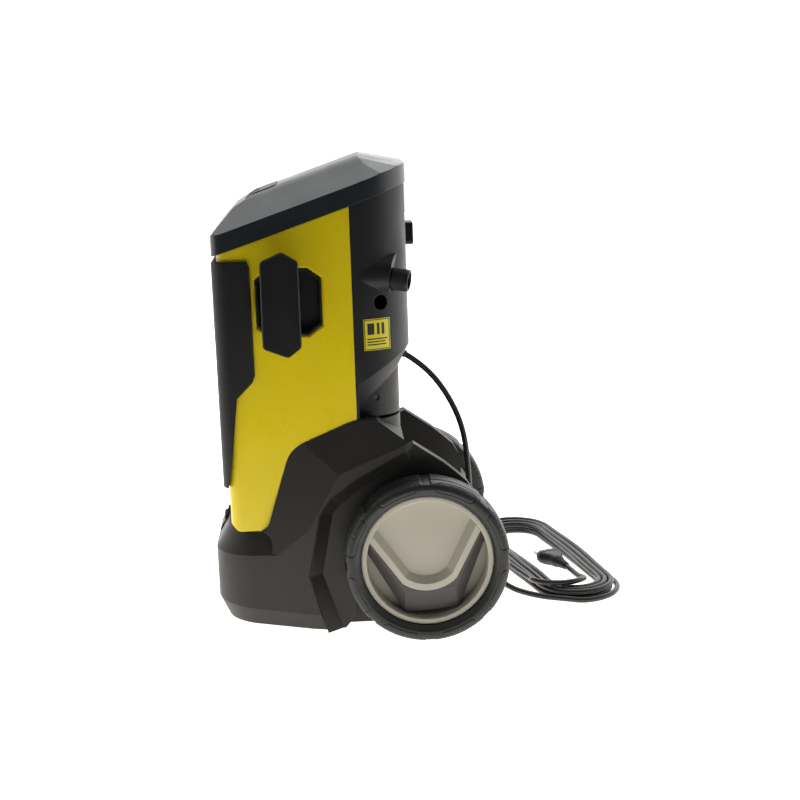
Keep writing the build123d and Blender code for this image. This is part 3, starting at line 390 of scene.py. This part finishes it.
def turned(profile, origin, axis, steps, radius_at=None):
    """Points and faces of a closed section of (distance, radius) pairs, turned about an axis."""
    along = Vector(axis).normalized()
    across = along.orthogonal().normalized()
    third = along.cross(across)
    points = []
    for turn in range(steps):
        angle = tau * turn / steps
        outward = across * cos(angle) + third * sin(angle)
        for distance, radius in profile:
            reach = radius_at(distance, radius, angle) if radius_at else radius
            points.append(Vector(origin) + along * distance + outward * reach)
    return points, ring_faces(len(profile), steps)


def joined(*solids):
    """Several point and face lists as one."""
    points, faces = [], []
    for more_points, more_faces in solids:
        start = len(points)
        points += more_points
        faces += [tuple(start + index for index in face) for face in more_faces]
    return points, faces


def smoothed(outline, rounds):
    """Closed outline with its corners cut a few times."""
    for _ in range(rounds):
        cut = []
        for (x0, y0), (x1, y1) in zip(outline, outline[1:] + outline[:1]):
            cut.append((0.75 * x0 + 0.25 * x1, 0.75 * y0 + 0.25 * y1))
            cut.append((0.25 * x0 + 0.75 * x1, 0.25 * y0 + 0.75 * y1))
        outline = cut
    return outline


# ---------------------------------------------------------------- tyres
# Lengths in millimetres. The drops are measured inwards from the tread's radius, and each edge is the
# distance over which a groove, dot or notch fades out.
rim_seat_drop = 19.6
lug_count = 8
lug_length = 50
lug_height = 15
lug_corner = 6
lug_depth = 1.3
lug_shift = 1
lug_outer_edge = (-1.6, -0.8)
lug_inner_edge = (0.1, 0.9)
dot_places = (-8, 0, 8)
dot_depth = 0.7
dot_edge = (0.8, 1.7)
dot_shift = 1
notch_depth = 1.6
notch_edge = (5, 6.2)
notch_bottom_drop = 3.2
notch_top_drop = 1.6
shoulder_drop = 5.5
shoulder_inset = 1.6
shoulder_width = 2
shoulder_slope = 1.15
tread_groove = 16
tread_groove_depth = 1.3
tread_groove_edge = (0.6, 1.4)
sidewall_line_drop = 11.6
sidewall_line_depth = 0.6
sidewall_line_edge = (0.25, 0.9)
relief_drop = 13
relief_mesh = 0.75
tyre_steps = 1080


def step(value, low, high):
    """Smooth rise from 0 at low to 1 at high."""
    share = min(1.0, max(0.0, (value - low) / (high - low)))
    return share * share * (3 - 2 * share)


def lug_relief(along, across):
    """Depth in mm of the groove round one lug and of its dots, along the tread and across the shoulder."""
    aside = max(abs(along) - lug_length / 2 + lug_corner, 0.0)
    over = max(abs(across) - lug_height / 2 + lug_corner, 0.0)
    inside = lug_corner - (aside * aside + over * over) ** 0.5
    if aside == 0 or over == 0:
        inside = min(lug_length / 2 - abs(along), lug_height / 2 - abs(across))
    groove = step(inside, *lug_outer_edge) - step(inside, *lug_inner_edge)
    dots = 0.0
    for place in dot_places:
        reach = ((along - place) ** 2 + (across - dot_shift) ** 2) ** 0.5
        dots = max(dots, 1 - step(reach, *dot_edge))
    return lug_depth * groove + dot_depth * dots


def tread_depth(radius, x_from_shoulder, r, along, between):
    """How far below the smooth tyre a point lies: lugs, dots, notches, tread groove and sidewall line."""
    across = (r - radius + shoulder_drop) * shoulder_slope + max(0.0, -x_from_shoulder - shoulder_width)
    depth = lug_relief(along, across - lug_shift)
    notch = 1 - step(abs(between), *notch_edge)
    notch *= step(r, radius - notch_bottom_drop, radius - notch_top_drop)
    groove = 1 - step(abs(x_from_shoulder + tread_groove), *tread_groove_edge)
    line = 1 - step(abs(r - radius + sidewall_line_drop), *sidewall_line_edge)
    on_tread = r > radius - 0.5
    return max(depth, notch_depth * notch, tread_groove_depth * groove * on_tread, sidewall_line_depth * line)


def tyre(side):
    """Solid tyre: smooth sidewall, shoulder groove, lugs with three dots, notched tread."""
    name = "left" if side > 0 else "right"
    low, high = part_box(f"{name}_tyre")
    axle_y, axle_z = (low.y + high.y) / 2, (low.z + high.z) / 2
    outer_x = max(abs(low.x), abs(high.x)) / mm
    inner_x = min(abs(low.x), abs(high.x)) / mm
    radius = (high.z - low.z) / 2 / mm
    outer_half = [(outer_x - 10.5, radius - rim_seat_drop), (outer_x - 4.5, radius - 19),
                  (outer_x, radius - 12), (outer_x - 1, radius - 4), (outer_x - 8, radius)]
    inner_half = [(inner_x + 7, radius), (inner_x + 1, radius - 5), (inner_x, radius - 14),
                  (inner_x + 3, radius - rim_seat_drop)]
    corners = smoothed(outer_half + inner_half, rounds=3)
    fine = []
    for (x0, r0), (x1, r1) in zip(corners, corners[1:] + corners[:1]):
        length = ((x1 - x0) ** 2 + (r1 - r0) ** 2) ** 0.5
        parts = max(1, round(length / relief_mesh)) if r0 > radius - relief_drop else 1
        fine += [(x0 + (x1 - x0) * part / parts, r0 + (r1 - r0) * part / parts) for part in range(parts)]
    middle_x = (outer_x + inner_x) / 2
    shoulder_x = outer_x - shoulder_inset
    period = tau / lug_count
    points = []
    for turn in range(tyre_steps):
        angle = tau * turn / tyre_steps
        along = ((angle % period) - period / 2) * radius
        between = ((angle + period / 2) % period - period / 2) * radius
        for x, r in fine:
            mirrored_x = middle_x + abs(x - middle_x)
            down = 0.0
            if r > radius - relief_drop:
                down = tread_depth(radius, mirrored_x - shoulder_x, r, along, between)
            flank = 1 - step(r, radius - 6, radius - 1)
            reach = (r - down * (0.35 + 0.65 * step(r, radius - 10, radius - 2))) * mm
            sunk_x = x - down * 0.6 * flank * (1 if x > middle_x else -1)
            points.append((side * sunk_x * mm, axle_y + reach * cos(angle), axle_z + reach * sin(angle)))
    faces = ring_faces(len(fine), tyre_steps)
    if side < 0:
        faces = [face[::-1] for face in faces]
    piece = mesh_piece(f"{name}_treaded_tyre", points, faces, tyre_rubber, smooth_angle=50)
    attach(piece, f"{name}_wheel")
    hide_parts(f"{name}_tyre")


# ---------------------------------------------------------------- mains cord
cord_diameter = 7.5 * mm

# The cord's way in millimetres: from the gland down to the floor, and from the hank to the plug.
cord_route = [(0, 68, 325.7), (0, 92, 310.2), (0, 122, 270), (0, 141, 222), (1, 145, 164), (4, 147, 104),
              (10, 158, 52), (20, 186, 17), (34, 226, 6), (50, 267, 5.5)]
tail_route = [(-24, 291, 10.5), (-42, 286.5, 11.5), (-57, 281, 13.5)]

# The hank: an oval on the floor, its lanes counted inwards from the outside; lengths in millimetres.
coil_centre = (-128, 256)
coil_half_length = 190
coil_half_width = 68
coil_turn = radians(12)
coil_turns = 5.83
coil_start = -0.03
inward_turns = 2.75
inward_pitch = 11.2
outward_pitch = 8.9
first_inset = 4.6
far_end_inset = 4
far_end_pitch = 6
first_height = 4
layer_rise = 7.7
last_rise = 1.5
smallest_bend = 31.5
narrowest_lane = 33
bend_growth = 0.88
points_per_turn = 46

# Shares of one turn: each rounded end of a lane, the climb to the upper layer, the climb to the exit loop.
end_share = 0.1455
climb_before = 0.12
climb_after = 0.14
last_climb = 0.25

# The last loop of the hank, which lifts the cord out of it, in the hank's own directions.
exit_centre = (119, -21)
exit_radius = 35.5
exit_start = radians(-108)
exit_step = radians(24)
exit_heights = [14.5, 17.5, 19.3, 20, 20, 20, 19, 16.5, 13]


def oval(inset, short, station):
    """Place on one lane of the hank, some turns round it: inset all round and cut short at the far end."""
    half_width = coil_half_width - inset
    bend = max(smallest_bend, smallest_bend + bend_growth * (half_width - narrowest_lane))
    near = coil_half_length - inset - bend
    far = near - short
    onward = (station + end_share / 2) % 1
    flip = 1
    if onward >= 0.5:
        near, far, flip = far, near, -1
    onward %= 0.5
    if onward < end_share:
        angle = pi * (onward / end_share - 0.5)
        return flip * (near + bend * cos(angle)), flip * bend * sin(angle)
    share = (onward - end_share) / (0.5 - end_share)
    bulge = (half_width - bend) * sin(pi * share) ** 2
    return flip * (near - (near + far) * share), flip * (bend + bulge)


def on_floor(x, y, height):
    """Place in the machine's frame of a point given along and across the hank, in millimetres."""
    return (coil_centre[0] + x * cos(coil_turn) - y * sin(coil_turn),
            coil_centre[1] + x * sin(coil_turn) + y * cos(coil_turn), height)


def coil_point(turns):
    """Place after some turns: a layer that winds inwards, then one on top of it that winds outwards."""
    back = turns
    if turns > inward_turns:
        back = inward_turns - (turns - inward_turns) * outward_pitch / inward_pitch
    inset = first_inset + inward_pitch * back
    short = far_end_inset + far_end_pitch * back
    x, y = oval(inset, short, turns + coil_start)
    height = first_height + layer_rise * step(turns, inward_turns - climb_before, inward_turns + climb_after)
    height += last_rise * step(turns, coil_turns - last_climb, coil_turns)
    return on_floor(x, y, height)


def cord_points():
    """Control points from the gland to the plug, in millimetres."""
    count = round(coil_turns * points_per_turn)
    coil = [coil_point(coil_turns * index / count) for index in range(1, count + 1)]
    loop = []
    for index, height in enumerate(exit_heights):
        angle = exit_start + exit_step * index
        x = exit_centre[0] + exit_radius * cos(angle)
        y = exit_centre[1] + exit_radius * sin(angle)
        loop.append(on_floor(x, y, height))
    return cord_route + coil + loop + tail_route


def make_cord():
    """One smooth spline, 5 m long: out of the gland, down between the wheels, round the hank, to the plug."""
    line = cord_points()
    curve = bpy.data.curves.new("mains_cord", "CURVE")
    curve.dimensions = "3D"
    curve.bevel_depth = cord_diameter / 2
    curve.bevel_resolution = 5
    curve.resolution_u = 10
    spline = curve.splines.new("NURBS")
    spline.points.add(len(line) - 1)
    for point, place in zip(spline.points, line):
        point.co = (*(coordinate * mm for coordinate in place), 1)
    spline.order_u = 3
    spline.use_endpoint_u = True
    curve.materials.append(cord_sheath)
    cord = bpy.data.objects.new("mains_cord", curve)
    bpy.context.scene.collection.objects.link(cord)
    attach(cord, "case")
    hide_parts("power_cord", "cord_tail", "cord_coil")
    return cord


# ---------------------------------------------------------------- plug and strain relief
# Ribs lie on a share of a sleeve's length, and its mouth is a share of its last radius.
rib_depth = 0.75 * mm
ribs_start = 0.06
ribs_share = 0.9
mouth_share = 0.9
sleeve_steps = 48
plug_length = 58 * mm
plug_sleeve_start = 35 * mm
plug_sleeve_radii = (7.4 * mm, 4.9 * mm)
plug_sleeve_ribs = 6
plug_bore = 3.6 * mm
plug_corner_steps = 8

# The strain relief starts at its root, in the back of the case, and ends where the cord comes out.
gland_root = (0, 50 * mm, 337.3 * mm)
gland_radii = (8 * mm, 5.2 * mm)
gland_ribs = 5
gland_bore = 3.72 * mm

# The plug's body in millimetres: (distance from its face, half width, half height, corner radius).
plug_sections = [(0, 15.5, 7.2, 6), (1.2, 17, 8.4, 7.5), (2.5, 17.6, 8.9, 8), (9, 17.6, 8.9, 8),
                 (9.6, 16.9, 8.3, 7.5), (11, 16.9, 8.3, 7.5), (11.6, 17.4, 8.8, 8), (15, 16.2, 8.8, 8),
                 (20, 12.6, 8.8, 8), (25, 10.4, 8.6, 8), (30, 9.3, 8.4, 8), (34, 8.8, 8.3, 8),
                 (35.5, 8, 7.8, 7.4), (35.5, 4.2, 4.2, 4)]


def ribbed(start, end, radii, ribs, bore):
    """Section of a sleeve with ribs that tapers from the first of two radii to the last."""
    first_radius, last_radius = radii
    profile = [(start, bore), (start, first_radius)]
    for index in range(ribs * 4 + 1):
        share = index / (ribs * 4)
        radius = first_radius + (last_radius - first_radius) * share
        dip = rib_depth if index % 4 in (2, 3) and 0 < index < ribs * 4 else 0
        profile.append((start + (end - start) * (ribs_start + ribs_share * share), radius - dip))
    profile.append((end, last_radius * mouth_share))
    profile.append((end, bore))
    return profile


def oblong(half_width, half_height, corner, steps):
    """Rounded rectangle as (across, up) pairs, corner by corner."""
    outline = []
    for quarter in range(4):
        for index in range(steps + 1):
            angle = tau / 4 * (quarter + index / steps)
            across = (half_width - corner) * (1 if quarter in (0, 3) else -1) + corner * cos(angle)
            up = (half_height - corner) * (1 if quarter in (0, 1) else -1) + corner * sin(angle)
            outline.append((across, up))
    return outline


def make_plug(cord):
    """Flat mains plug for two pins, with a waisted grip and a ribbed sleeve towards the cord."""
    end = Vector(tail_route[-1]) * mm
    pins_low, pins_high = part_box("plug_pins")
    pins = (pins_low + pins_high) / 2
    arm = Vector((end.x - pins.x, end.y - pins.y, 0)).normalized()
    across = arm.cross(Vector((0, 0, 1)))
    face = end - arm * plug_length
    points, faces = [], []
    for distance, half_width, half_height, corner in plug_sections:
        for aside, up in oblong(half_width, half_height, corner, plug_corner_steps):
            points.append(face + arm * distance * mm + across * aside * mm + Vector((0, 0, up * mm)))
    count = 4 * (plug_corner_steps + 1)
    last = (len(plug_sections) - 1) * count
    for here in range(0, last, count):
        for index in range(count):
            after = (index + 1) % count
            faces.append((here + index, here + after, here + count + after, here + count + index))
    faces.append(tuple(range(count))[::-1])
    faces.append(tuple(range(last, last + count)))
    sleeve = ribbed(plug_sleeve_start, plug_length, plug_sleeve_radii, plug_sleeve_ribs, plug_bore)
    solid = joined((points, faces), turned(sleeve, face, arm, sleeve_steps))
    plug = mesh_piece("moulded_plug", *solid, plug_rubber)
    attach(plug, "case")
    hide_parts("mains_plug")


def make_gland():
    """Ribbed strain relief where the cord leaves the back of the case."""
    end = Vector([coordinate * mm for coordinate in cord_route[0]])
    start = Vector(gland_root)
    run = end - start
    sleeve = ribbed(0, run.length, gland_radii, gland_ribs, gland_bore)
    gland = mesh_piece("strain_relief", *turned(sleeve, start, run, sleeve_steps), plug_rubber)
    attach(gland, "case")
    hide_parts("cord_gland")


# ---------------------------------------------------------------- knurled ring nut
nut_length = 21 * mm
nut_radius = 13.5 * mm
nut_bore = 9.56 * mm
nut_chamfer = 1.2 * mm
nut_steps = 216
grip_start = 2 * mm
grip_mesh = 0.55 * mm
grip_rings = 29
knurl_depth = 0.7 * mm
knurl_count = 18
knurl_lean = 0.95
thread_radius = 10.2 * mm
thread_start = 1.2 * mm
thread_end = 12 * mm
thread_flank = 0.75 * mm
thread_flanks = 14
thread_height = 0.5 * mm


def make_ring_nut():
    """Ring nut of the water inlet with a diamond knurl round its grip."""
    joint = joints["inlet_nut_spin"]
    axis = Vector(joint["axis"])
    tip = Vector(joint["pos_m"])
    rear = [(-nut_length, nut_bore), (-nut_length, nut_radius - nut_chamfer),
            (-nut_length + 0.8 * mm, nut_radius - 0.4 * mm)]
    grip = [(-nut_length + grip_start + index * grip_mesh, nut_radius) for index in range(grip_rings)]
    mouth = [(-1.6 * mm, nut_radius - 0.3 * mm), (-0.6 * mm, nut_radius - 0.5 * mm),
             (0, nut_radius - nut_chamfer), (0, thread_radius + 0.9 * mm), (-0.7 * mm, thread_radius)]
    thread = []
    for index in range(thread_flanks):
        crest = 0.0 if index % 2 else thread_height
        thread.append((-thread_start - index * thread_flank, thread_radius + crest))
    bottom = [(-thread_end, thread_radius), (-thread_end, nut_bore)]

    def knurl(distance, reach, angle):
        """Radius with the diamond pattern cut into the grip."""
        if reach < nut_radius - 0.1 * mm:
            return reach
        lean = distance / mm * knurl_lean
        return reach - knurl_depth * abs(sin(knurl_count * angle + lean) * sin(knurl_count * angle - lean))

    solid = turned(rear + grip + mouth + thread + bottom, tip, axis, nut_steps, knurl)
    nut = mesh_piece("knurled_ring_nut", *solid, trim_black, smooth_angle=30)
    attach(nut, "inlet_nut")
    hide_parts("inlet_ring_nut")


# ---------------------------------------------------------------- materials of the machine
# Painted highlight: the strength and colour that plastic() takes after grain (pale yellow for the case) light
# up each plastic's rounded edges.
case_yellow = plastic("case_yellow", (0.88, 0.69, 0.003), 0.3, grain=0.01, edge_highlight=0.2, highlit_colour=(0.85, 0.72, 0.12))
case_black = plastic("case_black", (0.014, 0.015, 0.017), 0.42, edge_highlight=0.15, Specular_IOR_Level=0.35)
cover_black = plastic("cover_black", (0.013, 0.02, 0.024), 0.3, grain=0.012, edge_highlight=0.1,
                      Specular_IOR_Level=0.65)
base_black = plastic("base_black", (0.026, 0.025, 0.024), 0.45, grain=0.04, edge_highlight=0.12,
                     Specular_IOR_Level=0.35)
trim_black = plastic("trim_black", (0.012, 0.012, 0.013), 0.4, edge_highlight=0.15, radius=0.5, Specular_IOR_Level=0.3)
panel_black = plastic("panel_black", (0.012, 0.012, 0.013), 0.5, grain=0.03, edge_highlight=0.15,
                      Specular_IOR_Level=0.3)
insert_grey = plastic("insert_grey", (0.06, 0.054, 0.054), 0.4, edge_highlight=0.15)
rim_grey = wheel_plastic("rim_grey", (0.5, 0.475, 0.4), joints["left_wheel_spin"]["pos_m"])
tyre_rubber = rubber("tyre_rubber", (0.015, 0.016, 0.017), 0.42, 1.4)
foot_rubber = rubber("foot_rubber", (0.03, 0.03, 0.03), 0.7)
plug_rubber = rubber("plug_rubber", (0.018, 0.019, 0.02), 0.4)
cord_sheath = rubber("cord_sheath", (0.02, 0.02, 0.02), 0.27, 1.2)
anodised = metal("anodised", (0.78, 0.79, 0.8), 0.32, (1, 1, 0.05))
steel = metal("bright_steel", (0.56, 0.56, 0.57), 0.3, (1, 1, 0.1))
dark_screw = metal("dark_screw", (0.06, 0.06, 0.065), 0.45)
cast_metal = metal("cast_metal", (0.6, 0.6, 0.61), 0.5)
laminations = metal("laminations", (0.33, 0.33, 0.34), 0.5, (1, 1, 12))
copper = metal("copper", (0.75, 0.36, 0.2), 0.35, (1, 1, 6))
brass = metal("turned_brass", (0.8, 0.6, 0.28), 0.3, (1, 1, 4))
filter_mesh = plastic("filter_mesh", (0.12, 0.2, 0.35), 0.5)
label_print = printed_label("label_print")
knob_black = marked_knob("knob_black", (0.02, 0.02, 0.021))

finishes = {
    case_yellow: ["left_case_shell", "right_case_shell"],
    case_black: ["rear_case_shell", "rear_clip"],
    cover_black: ["top_cover"],
    panel_black: ["front_panel", "hook_dish"],
    base_black: ["base_housing", "left_wheel_frame", "right_wheel_frame"],
    trim_black: ["hook_plate", "handle_grip", "handle_release_button", "handle_guide", "outlet_socket",
                 "outlet_release", "inlet_connector", "power_switch", "run_capacitor"],
    insert_grey: ["left_hub_insert", "right_hub_insert"],
    rim_grey: ["left_rim", "right_rim", "left_hub_cover", "right_hub_cover"],
    foot_rubber: ["front_feet", "drive_mounts", "water_tube"],
    anodised: ["handle_tubes"],
    steel: ["axle", "axle_clips", "motor_shaft", "shaft_bearings", "swash_plate", "pump_pistons",
            "piston_springs", "drive_bolts", "pressure_tube", "hook_screw", "plug_pins"],
    dark_screw: ["case_screws"],
    cast_metal: ["motor_can", "motor_end_bell", "pump_housing", "cylinder_block"],
    laminations: ["stator_core", "motor_rotor"],
    copper: ["stator_windings"],
    brass: ["pump_head"],
    filter_mesh: ["inlet_filter"],
    label_print: ["side_label"],
    knob_black: ["control_knob"],
}
for finish, names in finishes.items():
    paint(finish, *names)

make_camera()
make_studio()
make_floor()
make_gland()
make_plug(make_cord())
make_ring_nut()
for side in (1, -1):
    tyre(side)
